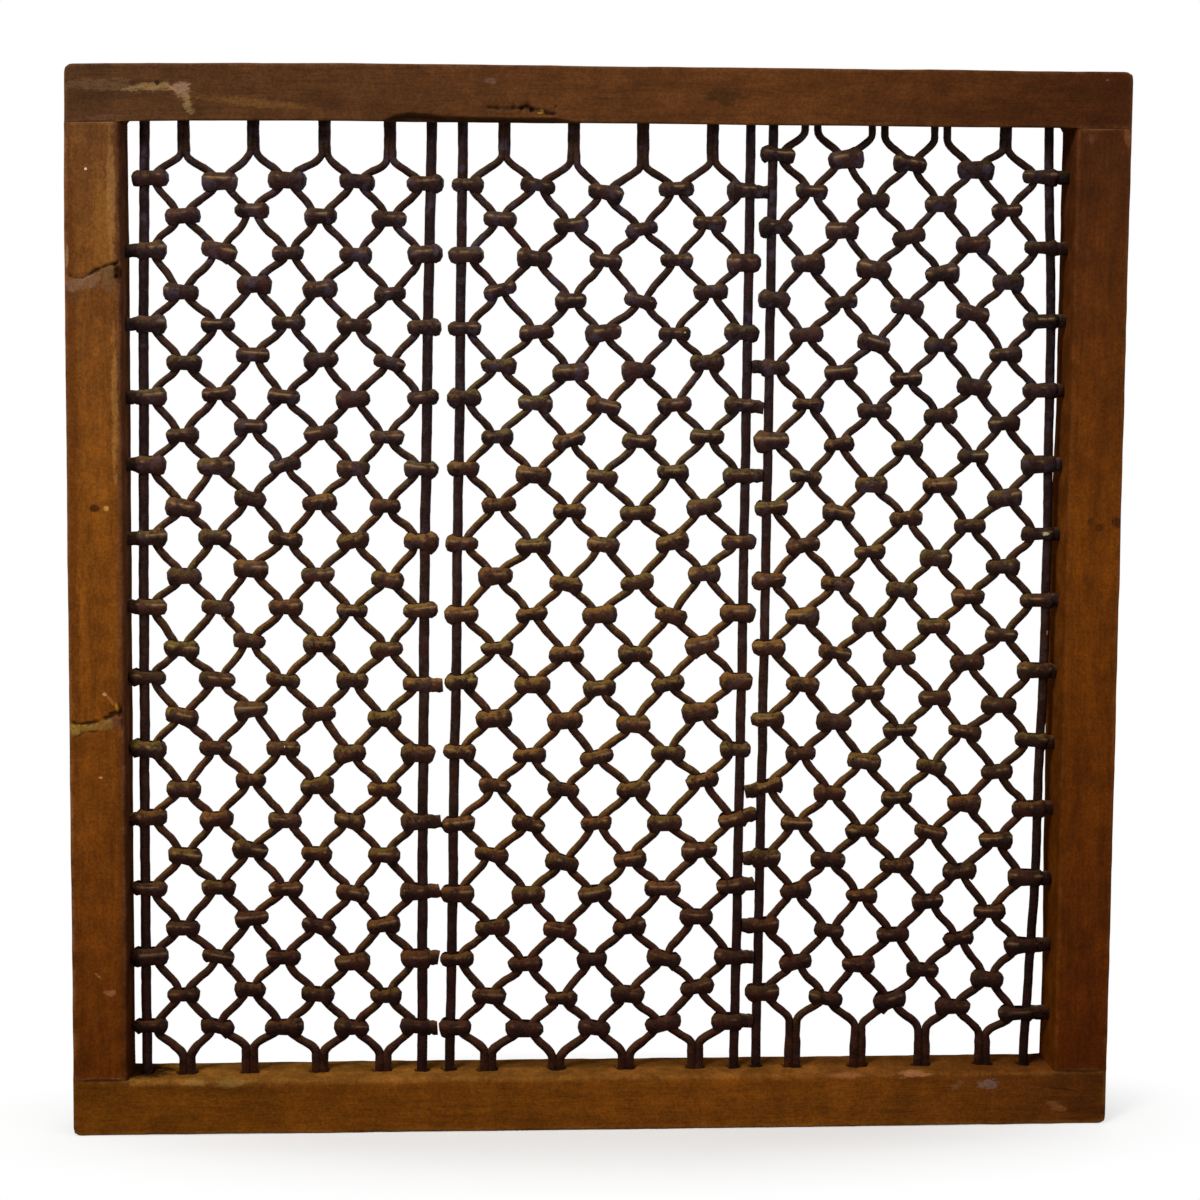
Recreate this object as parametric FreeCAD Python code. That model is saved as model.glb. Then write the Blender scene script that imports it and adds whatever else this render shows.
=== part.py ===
import FreeCAD, Part
import math
import os

os.makedirs("parts", exist_ok=True)

# A wrought-iron jali window screen in a wooden frame, in millimetres.
# Three iron panels stand side by side in the frame. In each one, zigzag wires
# meet side by side at every bend, where a wrapped collar holds the pair, and
# the outermost bends are held to a straight side bar.
# X runs along the width, Y from front to back and Z up. The origin is at the
# middle of the underside, half way through the frame's depth.

# Wooden frame
frame_width = 914.0
frame_height = 930.0
frame_depth = 50.0
stile_width = 48.0
rail_height = 49.0
corner_wear = 3.0               # outer corners, knocked off
arris = 1.5                     # long edges, planed off
tenon_length = 30.0
tenon_width = 34.0
tenon_thickness = 16.0
tenon_clearance = 0.2

# Iron stock, and how far it goes into the rails
wire_size = 6.0                 # square, for the zigzag wires
bar_diameter = 8.0              # across the flats of the hammered side bars
seat_depth = 15.0
seat_clearance = 0.3

# Wrapped collars, each a strap with a ridge along its middle
collar_height = 12.0
strap_thickness = 2.3
grip_clearance = 0.3            # between a collar and what it holds, and within a pair
lobe_reach = 11.0               # a side collar's folded end, from the bar's axis
tail_clearance = 0.3            # between a collar's long tail and what it reaches for

bar_sides = 8
bar_spans = 4                   # straight stretches that a bowed bar is hammered into

# Lattice
column_count = 9                # columns of collars in a panel, side bars included
row_count = 25
stem_rise = 24.0                # from an outermost row to where its wires close to a stem
open_stem_gap = 5.0             # between two wires that enter the rail unclosed
outer_slack = 5.0               # between the last wire and the bar that bows away from it
sideways_wander = 1.8           # the smith's hand: how far a collar may be off its place
height_wander = 1.8

opening_width = frame_width - 2 * stile_width
opening_height = frame_height - 2 * rail_height
opening_top = frame_height - rail_height
last_column = column_count - 1
last_row = row_count - 1

# The three panels. Bars are shares of the opening's width from its left side,
# at the top and at the bottom. Rows are shares of the opening's height from
# its foot, for the first and the last row beside that bar. A bow is a share
# of the opening's height, and a lift a share of the pitch of the rows.
panels = [
    {
        "name": "left_panel",
        "left_bar_shares": (0.0216, 0.0167),
        "right_bar_shares": (0.3210, 0.3130),
        "bow_shares": (-0.0020, -0.0025),
        "left_row_shares": (0.9425, 0.0490),
        "right_row_shares": (0.9385, 0.0450),
        "column_lift_shares": (0, -0.09, 0, 0.11, 0.05, 0, -0.03, -0.04, 0),
        "slacks": (0, 0),
        "open_stems": (),
        "left_tail_rows": range(1, row_count),
        "right_tail_rows": (14, 18, 20, 22, 24),
        "meets_collar_on_right": True,
    },
    {
        "name": "middle_panel",
        "left_bar_shares": (0.3538, 0.3432),
        "right_bar_shares": (0.6583, 0.6534),
        "bow_shares": (0.0006, 0.0008),
        "left_row_shares": (0.9360, 0.0390),
        "right_row_shares": (0.9335, 0.0470),
        "column_lift_shares": (0.1, 0.1, 0, -0.08, -0.05, -0.1, 0, 0.12, 0),
        "slacks": (0, 0),
        "open_stems": (),
        "left_tail_rows": (),
        "right_tail_rows": (0, 6, 8, 18, 20, 22, 24),
        "meets_collar_on_right": False,
    },
    {
        "name": "right_panel",
        "left_bar_shares": (0.6824, 0.6776),
        "right_bar_shares": (0.9784, 0.9743),
        "bow_shares": (0.0004, 0.0100),
        "left_row_shares": (0.9720, 0.0810),
        "right_row_shares": (0.9495, 0.0550),
        "column_lift_shares": (0, 0, 0, 0, 0.02, 0.03, 0.03, -0.04, 0),
        "slacks": (0, outer_slack),
        "open_stems": (1, 3, 5),
        "left_tail_rows": (6, 18, 20, 22),
        "right_tail_rows": range(0, row_count),
        "meets_collar_on_right": False,
    },
]

LEFT = -1
RIGHT = 1


def box(x_pair, y_pair, z_pair):
    """A box between two x, two y and two z values, given in any order."""
    low = [min(pair) for pair in (x_pair, y_pair, z_pair)]
    high = [max(pair) for pair in (x_pair, y_pair, z_pair)]
    size = [b - a for a, b in zip(low, high)]
    return Part.makeBox(size[0], size[1], size[2], FreeCAD.Vector(low[0], low[1], low[2]))


def centred_box(x, width, depth, z_pair):
    """A box centred on x and on the middle of the frame's depth."""
    return box((x - width / 2, x + width / 2), (-depth / 2, depth / 2), z_pair)


def bar_bend(panel, side, number):
    """Where a side bar bends, as (x, z), counted from its top end: a leaning bow."""
    key = "left_bar_shares" if side == LEFT else "right_bar_shares"
    top_share, bottom_share = panel[key]
    bow_share = panel["bow_shares"][0 if side == LEFT else 1]
    top = opening_top + seat_depth
    bottom = rail_height - seat_depth
    z = top + (bottom - top) * number / bar_spans
    fall_share = (opening_top - z) / opening_height
    line_share = top_share + (bottom_share - top_share) * fall_share
    bow = opening_height * bow_share * 4 * fall_share * (1 - fall_share)
    return opening_width * (line_share - 0.5) + bow, z


def side_bar_x(panel, side, z):
    """The place of a side bar's axis at height z."""
    bends = [bar_bend(panel, side, number) for number in range(bar_spans + 1)]
    return along(bends, z)


def along(points, z):
    """The x at height z on a line through (x, z) points that go down."""
    for (x_above, z_above), (x_below, z_below) in zip(points, points[1:]):
        if z >= z_below:
            break
    share = (z_above - z) / (z_above - z_below)
    return x_above + (x_below - x_above) * share


def lattice_edge(panel, side, z):
    """Where the outermost wire's collar has its middle, between wire and bar."""
    slack = panel["slacks"][0 if side == LEFT else 1]
    inward = bar_diameter / 2 + grip_clearance / 2 + slack
    return side_bar_x(panel, side, z) - side * inward


def row_pitch(panel):
    """The mean height between one row of collars and the next."""
    first = panel["left_row_shares"][0] + panel["right_row_shares"][0]
    last = panel["left_row_shares"][1] + panel["right_row_shares"][1]
    return opening_height * (first - last) / 2 / last_row


def column_pitch(panel):
    """The width between one column of collars and the next, at half height."""
    z = rail_height + opening_height / 2
    return (lattice_edge(panel, RIGHT, z) - lattice_edge(panel, LEFT, z)) / last_column


def hand(row, column, panel, turn):
    """An uneven but repeatable number from -1 to 1, as a hand's error."""
    place = 3 * row + 7 * column + 11 * panels.index(panel) + turn
    return math.sin(place * place * 1.7 + place)


def node(panel, row, column):
    """The middle of the collar at a row and column. Stems are rows beyond the ends."""
    across_share = column / last_column
    height_shares = []
    for end in (0, 1):
        left_share = panel["left_row_shares"][end]
        right_share = panel["right_row_shares"][end]
        height_shares.append(left_share + (right_share - left_share) * across_share)
    near_row = min(max(row, 0), last_row)
    drop_share = near_row / last_row
    height_share = height_shares[0] + (height_shares[1] - height_shares[0]) * drop_share
    z = rail_height + opening_height * height_share
    z += row_pitch(panel) * panel["column_lift_shares"][column]
    z += height_wander * hand(row, column, panel, 5)
    if row < 0:
        z = min(z + stem_rise, opening_top)
    if row > last_row:
        z = max(z - stem_rise, rail_height)
    left = lattice_edge(panel, LEFT, z)
    right = lattice_edge(panel, RIGHT, z)
    x = left + (right - left) * across_share
    if 0 < column < last_column:
        x += sideways_wander * hand(row, column, panel, 0)
    return x, z


def wire_outline(panel, index):
    """The two edges of a zigzag wire from top to bottom, as (left, right, z)."""
    slant = (column_pitch(panel) - wire_size) / row_pitch(panel)
    bent_half = wire_size / 2 * math.hypot(1, slant)
    edges = []
    for row in range(-1, row_count + 1):
        column = index if (row + index) % 2 == 0 else index + 1
        side = RIGHT if column == index else LEFT
        x, z = node(panel, row, column)
        in_stem = row < 0 or row > last_row
        half = wire_size / 2 if in_stem else bent_half
        gap = grip_clearance
        if row < 0 and column in panel["open_stems"]:
            gap = open_stem_gap
        middle = x + side * (gap / 2 + half)
        edges.append((middle - half, middle + half, z))
    left, right, z = edges[0]
    edges.insert(0, (left, right, opening_top + seat_depth))
    left, right, z = edges[-1]
    edges.append((left, right, rail_height - seat_depth))
    return [edge for n, edge in enumerate(edges) if n == 0 or edge[2] < edges[n - 1][2]]


def wire_edge_x(outline, side, z):
    """The x of one edge of a wire at height z."""
    return along([(edge[0 if side == LEFT else 1], edge[2]) for edge in outline], z)


def zigzag_wire(outline):
    """A square wire along its zigzag, cut as a band of even depth."""
    front = -wire_size / 2
    points = [FreeCAD.Vector(left, front, z) for left, right, z in outline]
    points += [FreeCAD.Vector(right, front, z) for left, right, z in reversed(outline)]
    face = Part.Face(Part.makePolygon(points + points[:1]))
    return face.extrude(FreeCAD.Vector(0, wire_size, 0))


def skin(rings, closed):
    """A solid with flat faces from one ring of points to the next, round or capped."""
    pairs = list(zip(rings, rings[1:]))
    faces = []
    if closed:
        pairs.append((rings[-1], rings[0]))
    else:
        faces += [Part.Face(Part.makePolygon(ring + ring[:1])) for ring in (rings[0], rings[-1])]
    for ring, following in pairs:
        for n in range(len(ring)):
            after = (n + 1) % len(ring)
            corners = [ring[n], ring[after], following[after], following[n], ring[n]]
            faces.append(Part.Face(Part.makePolygon(corners)))
    solid = Part.Solid(Part.Shell(faces))
    if solid.Volume < 0:
        solid.reverse()
    return solid


def side_bar(panel, side):
    """A hammered bar, bowed in a few straight stretches, with both ends in the rails."""
    corner_distance = bar_diameter / 2 / math.cos(math.pi / bar_sides)
    rings = []
    for number in range(bar_spans + 1):
        x, z = bar_bend(panel, side, number)
        ring = []
        for corner in range(bar_sides):
            angle = 2 * math.pi * (corner + 0.5) / bar_sides
            reach = FreeCAD.Vector(math.cos(angle), math.sin(angle), 0) * corner_distance
            ring.append(FreeCAD.Vector(x, 0, z) + reach)
        rings.append(ring)
    return skin(rings, False)


def collar(z, hole_pair, tip_pair, held_depth):
    """A closed strap around what it holds, highest at the hole and thin at the ridge."""
    half_depth = held_depth / 2 + grip_clearance
    ridge_depth = half_depth + strap_thickness
    rings = []
    for pair, depth, height in (
        (hole_pair, half_depth, z - collar_height / 2),
        (tip_pair, ridge_depth, z),
        (hole_pair, half_depth, z + collar_height / 2),
    ):
        corners = ((pair[0], -depth), (pair[1], -depth), (pair[1], depth), (pair[0], depth))
        rings.append([FreeCAD.Vector(x, y, height) for x, y in corners])
    return skin(rings, True)


def hole_edge(panel, outlines, column, side, z):
    """How far to one side the things inside a collar reach, within its height."""
    at_bar = column == (0 if side == LEFT else last_column)
    reach = []
    for height in (z - collar_height / 2, z, z + collar_height / 2):
        if at_bar:
            reach.append(side_bar_x(panel, side, height) + side * bar_diameter / 2)
        else:
            wire = column - 1 if side == LEFT else column
            reach.append(wire_edge_x(outlines[wire], side, height))
    return side * max(side * x for x in reach) + side * grip_clearance


def tail_tip(panel, side, z):
    """The end of a side collar that reaches for what stands beside its panel."""
    neighbour = panels.index(panel) + side
    if neighbour not in range(len(panels)):
        return side * (opening_width / 2 - tail_clearance)
    bar = side_bar_x(panels[neighbour], -side, z)
    taken = lobe_reach if panel["meets_collar_on_right"] else bar_diameter / 2
    return bar - side * (taken + tail_clearance)


def collars(panel, outlines, columns):
    """All collars of some columns, as a group of separate solids."""
    solids = []
    for column in columns:
        for row in range(column % 2, row_count, 2):
            x, z = node(panel, row, column)
            holes = []
            tips = []
            held_depth = wire_size
            for side in (LEFT, RIGHT):
                edge = hole_edge(panel, outlines, column, side, z)
                tip = edge + side * strap_thickness
                if column == (0 if side == LEFT else last_column):
                    held_depth = bar_diameter
                    tip = side_bar_x(panel, side, z) + side * lobe_reach
                    key = "left_tail_rows" if side == LEFT else "right_tail_rows"
                    if row in panel[key]:
                        tip = tail_tip(panel, side, z)
                holes.append(edge)
                tips.append(tip)
            solids.append(collar(z, holes, tips, held_depth))
    return Part.makeCompound(solids)


def seat_cutters(panel, outlines, face_z, end_z):
    """The chiselled seats that one panel's bars and stems need in a rail."""
    depth_pair = (face_z, end_z + math.copysign(seat_clearance, end_z - face_z))
    cutters = []
    for side in (LEFT, RIGHT):
        places = [side_bar_x(panel, side, z) for z in (face_z, end_z)]
        half = bar_diameter / 2 + seat_clearance
        cutters.append(box((min(places) - half, max(places) + half), (-half, half), depth_pair))
    half = wire_size / 2 + seat_clearance
    for column in range(1, last_column, 2):
        left = wire_edge_x(outlines[column - 1], LEFT, end_z) - seat_clearance
        right = wire_edge_x(outlines[column], RIGHT, end_z) + seat_clearance
        cutters.append(box((left, right), (-half, half), depth_pair))
    return cutters


def stile(side):
    """An upright of the frame, with a stub tenon at each end."""
    middle = side * (opening_width + stile_width) / 2
    post = centred_box(middle, stile_width, frame_depth, (rail_height, opening_top))
    long_edges = [edge for edge in post.Edges if abs(edge.tangentAt(0).z) > 0.5]
    post = post.makeChamfer(arris, long_edges)
    for shoulder, end in (
        (opening_top, opening_top + tenon_length),
        (rail_height, rail_height - tenon_length),
    ):
        post = post.fuse(centred_box(middle, tenon_width, tenon_thickness, (shoulder, end)))
    return post


def rail(inner_z, outer_z, end_z, all_outlines):
    """A rail across the whole width, seated on both stiles and on the iron."""
    half_width = frame_width / 2
    half_depth = frame_depth / 2
    body = box((-half_width, half_width), (-half_depth, half_depth), (inner_z, outer_z))
    corners = []
    for edge in body.Edges:
        on_outside = abs(edge.CenterOfMass.z - outer_z) < arris
        if on_outside and abs(edge.tangentAt(0).y) > 0.5:
            corners.append(edge)
    body = body.makeChamfer(corner_wear, corners)
    long_edges = []
    for edge in body.Edges:
        on_outside = abs(edge.CenterOfMass.z - outer_z) < arris
        if on_outside and abs(edge.tangentAt(0).x) > 0.9:
            long_edges.append(edge)
    body = body.makeChamfer(arris, long_edges)
    cutters = []
    outward = math.copysign(1, outer_z - inner_z)
    for side in (LEFT, RIGHT):
        middle = side * (opening_width + stile_width) / 2
        floor = inner_z + outward * (tenon_length + tenon_clearance)
        width = tenon_width + 2 * tenon_clearance
        thickness = tenon_thickness + 2 * tenon_clearance
        cutters.append(centred_box(middle, width, thickness, (inner_z, floor)))
    for panel, outlines in zip(panels, all_outlines):
        cutters += seat_cutters(panel, outlines, inner_z, end_z)
    return body.cut(cutters)


outlines_by_panel = []
for panel in panels:
    outlines_by_panel.append([wire_outline(panel, n) for n in range(last_column)])

nodes = {
    "top_rail": rail(opening_top, frame_height, opening_top + seat_depth, outlines_by_panel),
    "bottom_rail": rail(rail_height, 0, rail_height - seat_depth, outlines_by_panel),
    "left_stile": stile(LEFT),
    "right_stile": stile(RIGHT),
}
for panel, outlines in zip(panels, outlines_by_panel):
    name = panel["name"]
    nodes[name + "_left_bar"] = side_bar(panel, LEFT)
    nodes[name + "_right_bar"] = side_bar(panel, RIGHT)
    for n, outline in enumerate(outlines):
        nodes[f"{name}_wire_{n + 1}"] = zigzag_wire(outline)
    nodes[name + "_left_collars"] = collars(panel, outlines, (0,))
    nodes[name + "_lattice_collars"] = collars(panel, outlines, range(1, last_column))
    nodes[name + "_right_collars"] = collars(panel, outlines, (last_column,))

for name, shape in nodes.items():
    shape.exportStep(f"parts/{name}.step")
print(len(nodes), "nodes,", sum(len(shape.Solids) for shape in nodes.values()), "solids")
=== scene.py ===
import math
import random
from types import SimpleNamespace

import bmesh
import bpy
import numpy as np
from mathutils import Euler, Matrix, Vector, noise


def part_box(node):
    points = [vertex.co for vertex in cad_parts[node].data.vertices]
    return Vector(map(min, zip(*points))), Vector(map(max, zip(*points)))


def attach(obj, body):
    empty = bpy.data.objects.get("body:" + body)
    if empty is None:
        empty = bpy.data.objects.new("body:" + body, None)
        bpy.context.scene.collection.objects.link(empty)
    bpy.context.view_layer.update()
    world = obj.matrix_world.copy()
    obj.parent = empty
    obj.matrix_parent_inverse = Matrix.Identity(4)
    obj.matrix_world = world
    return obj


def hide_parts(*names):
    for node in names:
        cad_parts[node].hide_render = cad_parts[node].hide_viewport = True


# A forged iron jali screen, three panels of wires and wrapped collars, in an old wooden frame.
# Everything is in metres: X along the width, Y from front to back, Z up.
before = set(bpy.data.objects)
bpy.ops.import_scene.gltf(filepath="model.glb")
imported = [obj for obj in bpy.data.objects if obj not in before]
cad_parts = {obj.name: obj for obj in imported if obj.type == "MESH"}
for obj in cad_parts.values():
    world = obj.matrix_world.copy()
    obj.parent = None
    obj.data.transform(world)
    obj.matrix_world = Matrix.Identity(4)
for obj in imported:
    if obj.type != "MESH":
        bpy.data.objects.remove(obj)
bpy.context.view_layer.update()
print("frame loaded:", len(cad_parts), "nodes")

panelNames = ("left_panel", "middle_panel", "right_panel")
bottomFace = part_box("bottom_rail")[1].z                 # the opening reaches from here
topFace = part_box("top_rail")[0].z                       # to here
openingSide = round(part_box("right_stile")[0].x, 5)      # and this far to either side
nearly = 1e-6                                           # closer than this is the same place


# Small helpers for node trees

def operator(operation, swapped=False):
    # what +, - and the like do with what a socket gives
    return lambda *values: calc(operation, *values[::-1 if swapped else 1])


class Value:
    # what a socket gives: reckoning with it adds math nodes to its tree
    def __init__(self, socket):
        self.socket = socket
        self.tree = socket.id_data

    __add__ = operator("ADD")
    __sub__ = operator("SUBTRACT")
    __rsub__ = operator("SUBTRACT", swapped=True)
    __mul__ = operator("MULTIPLY")
    __rtruediv__ = operator("DIVIDE", swapped=True)
    __pow__ = operator("POWER")
    __abs__ = operator("ABSOLUTE")
    __lt__ = operator("LESS_THAN")
    __gt__ = operator("GREATER_THAN")


def feed(node, feeds):
    for key, value in feeds.items():
        if isinstance(value, Value):
            value.tree.links.new(value.socket, node.inputs[key])
        else:
            node.inputs[key].default_value = value


def made(kind, feeds, output=0, tree=None, **settings):
    # one output of a new node, in the tree of what feeds it unless another is named
    tree = tree or next(value.tree for value in feeds.values() if isinstance(value, Value))
    node = tree.nodes.new(kind)
    for name, value in settings.items():
        setattr(node, name, value)
    feed(node, feeds)
    return Value(node.outputs[output])


def calc(operation, *values):
    return made("ShaderNodeMath", dict(enumerate(values)), operation=operation)


def vectorCalc(operation, *values):
    output = "Value" if operation in ("LENGTH", "DOT_PRODUCT") else "Vector"
    return made("ShaderNodeVectorMath", dict(enumerate(values)), output, operation=operation)


def scaled(vector, amount):
    return made("ShaderNodeVectorMath", {0: vector, 3: amount}, operation="SCALE")


def parts(vector, kind="ShaderNodeSeparateXYZ"):
    # the three numbers of a vector or a colour
    return [Value(output) for output in made(kind, {0: vector}).socket.node.outputs]


def ramp(value, low, high, start=0.0, end=1.0):
    # an eased step: start below low, end above high
    feeds = {0: value, 1: low, 2: high, 3: start, 4: end}
    return made("ShaderNodeMapRange", feeds, interpolation_type="SMOOTHSTEP")


def noiseOf(vector, scale, detail=3.0, roughness=0.55, distortion=0.0):
    feeds = {"Vector": vector, "Scale": scale, "Detail": detail, "Roughness": roughness}
    return made("ShaderNodeTexNoise", {**feeds, "Distortion": distortion})


def mixed(share, first, second, mode="MIX"):
    return made("ShaderNodeMix", {0: share, 6: first, 7: second}, 2, data_type="RGBA", blend_type=mode)


def tone(text):
    # the colour that a screen shows as #rrggbb, as linear light
    shares = [int(text[n:n + 2], 16) / 255 for n in (1, 3, 5)]
    linear = [s / 12.92 if s <= 0.04045 else ((s + 0.055) / 1.055) ** 2.4 for s in shares]
    return (*linear, 1.0)


def label(name):
    # the socket's name: dentSize becomes Dent Size
    return "".join(" " + letter if letter.isupper() else letter for letter in name).title()


socketKinds = {float: "Float", int: "Int", tuple: "Vector"}


def startTree(title, kind, **inputs):
    # a group; each input has a usual value or, if it has none, the kind of its socket
    tree = bpy.data.node_groups.new(title, kind)
    for name, value in inputs.items():
        socketKind = "NodeSocket" + socketKinds.get(type(value), value)
        socket = tree.interface.new_socket(name=label(name), in_out="INPUT", socket_type=socketKind)
        if not isinstance(value, str):
            socket.default_value = value
    outputs = tree.nodes.new("NodeGroupInput").outputs
    return tree, SimpleNamespace(**{name: Value(output) for name, output in zip(inputs, outputs)})


def endTree(tree, kind="Float", **results):
    for name in results:
        tree.interface.new_socket(name=label(name), in_out="OUTPUT", socket_type="NodeSocket" + kind)
    feed(tree.nodes.new("NodeGroupOutput"), {label(name): value for name, value in results.items()})
    return tree


# Effects that several materials use

def makePatchTree():
    # one stain, scuff or knot: a ragged oval about a place on the object
    tree, given = startTree("raggedPatch", "ShaderNodeTree", vector="Vector", place=(0.0, 0.0, 0.0),
                            reach=(0.01, 0.03, 0.01), turn=0.0, ragged=0.6, grit=420.0,
                            streak=(1.0, 1.0, 1.0))
    streaked = vectorCalc("MULTIPLY", given.vector, given.streak)
    feeds = {"Vector": given.vector, "Center": given.place, "Angle": given.turn}
    turned = made("ShaderNodeVectorRotate", feeds, rotation_type="Y_AXIS")
    offset = vectorCalc("DIVIDE", vectorCalc("SUBTRACT", turned, given.place), given.reach)
    shape = noiseOf(streaked, given.grit * 0.35, 3.0, 0.6)
    cover = ramp((shape - 0.5) * given.ragged + vectorCalc("LENGTH", offset), 0.2, 1.25, 1.0, 0.0)
    grit = noiseOf(streaked, given.grit, 3.0, 0.7) - 0.5
    broken = grit * (given.ragged * 1.6) + cover
    return endTree(tree, mask=ramp(broken, 0.22, 0.85) * ramp(cover, 0.0, 0.25))


def makeSpeckTree():
    # sparse specks, such as plaster dust or paint dots
    tree, given = startTree("sparseSpecks", "ShaderNodeTree", vector="Vector", scale=120.0, share=0.03,
                            size=0.3)
    feeds = {"Vector": given.vector, "Scale": given.scale}
    cells = made("ShaderNodeTexVoronoi", feeds, "Color", feature="F1")
    firstDraw, secondDraw = parts(cells, "ShaderNodeSeparateColor")[:2]
    distance = noiseOf(given.vector, 900.0, 2.0) * 0.25 + Value(cells.socket.node.outputs["Distance"])
    near = distance < given.size * (secondDraw + 0.35) + 0.12
    return endTree(tree, mask=(firstDraw < given.share) * near)


def makeGrainTree():
    # wood whose grain runs along the vector's X: the fibres are noise drawn out that way
    tree, given = startTree("woodGrain", "ShaderNodeTree", vector="Vector", figureScale=9.0, fibreScale=320.0,
                            twist=0.6)

    def stretched(*shares):
        return vectorCalc("MULTIPLY", given.vector, shares)

    return endTree(
        tree,
        figure=noiseOf(stretched(1.0, 7.0, 7.0), given.figureScale, 4.0, 0.6, given.twist),
        fibre=noiseOf(stretched(0.07, 1.0, 1.0), given.fibreScale, 3.0, 0.6),
        pores=ramp(noiseOf(stretched(0.12, 1.0, 1.0), given.fibreScale * 1.7, 2.0, 0.5), 0.54, 0.68),
        mottle=noiseOf(given.vector, 42.0, 5.0, 0.7),
    )


def makeRustTree():
    # old rust: dark scale with red blooms, and dust wherever the surface looks up
    tree, given = startTree("rustAndDust", "ShaderNodeTree", vector="Vector", upward=0.0, dustAmount=0.7,
                            dustSlope=0.25, bloomScale=70.0)
    pits = noiseOf(given.vector, 620.0, 4.0, 0.62)
    clumps = noiseOf(given.vector, 150.0, 4.0, 0.7)
    loose = (clumps - 0.5) * 1.9 + ((pits - 0.5) * 1.1 + given.upward)
    return endTree(
        tree,
        dust=ramp(loose, given.dustSlope, 0.95) * given.dustAmount,
        bloom=ramp(noiseOf(given.vector, given.bloomScale, 5.0, 0.68), 0.4, 0.66),
        pitting=ramp(pits, 0.34, 0.54),
        rise=clumps * 0.6 + pits * 0.4,
    )


patchTree = makePatchTree()
speckTree = makeSpeckTree()
grainTree = makeGrainTree()
rustTree = makeRustTree()
print("shader groups built")


# Materials

def startMaterial(name):
    material = bpy.data.materials.new(name)
    material.use_nodes = True
    tree = material.node_tree
    return material, tree.nodes["Principled BSDF"], made("ShaderNodeTexCoord", {}, "Object", tree)


def group(groupTree, **feeds):
    # what a shader group gives, by name
    feeds = {label(name): value for name, value in feeds.items()}
    outputs = made("ShaderNodeGroup", feeds, node_tree=groupTree).socket.node.outputs
    return SimpleNamespace(**{output.name.lower(): Value(output) for output in outputs})


def attribute(tree, name):
    return made("ShaderNodeAttribute", {}, "Fac", tree, attribute_name=name)


def bump(height, strength, distance):
    return made("ShaderNodeBump", {"Strength": strength, "Distance": distance, "Height": height})


wood = {
    "fibreBump": 0.24,
    "roughness": 0.5,
    "shine": 0.05,
    "hollowShadeTone": "#1a0d05",
    "arrisShare": 0.45,             # how much of the arris tone, wear and a painted highlight, an edge takes
    "speckScale": 105.0,
    "speckShare": 0.0006,
    "speckTone": "#8a6440",
}
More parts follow.
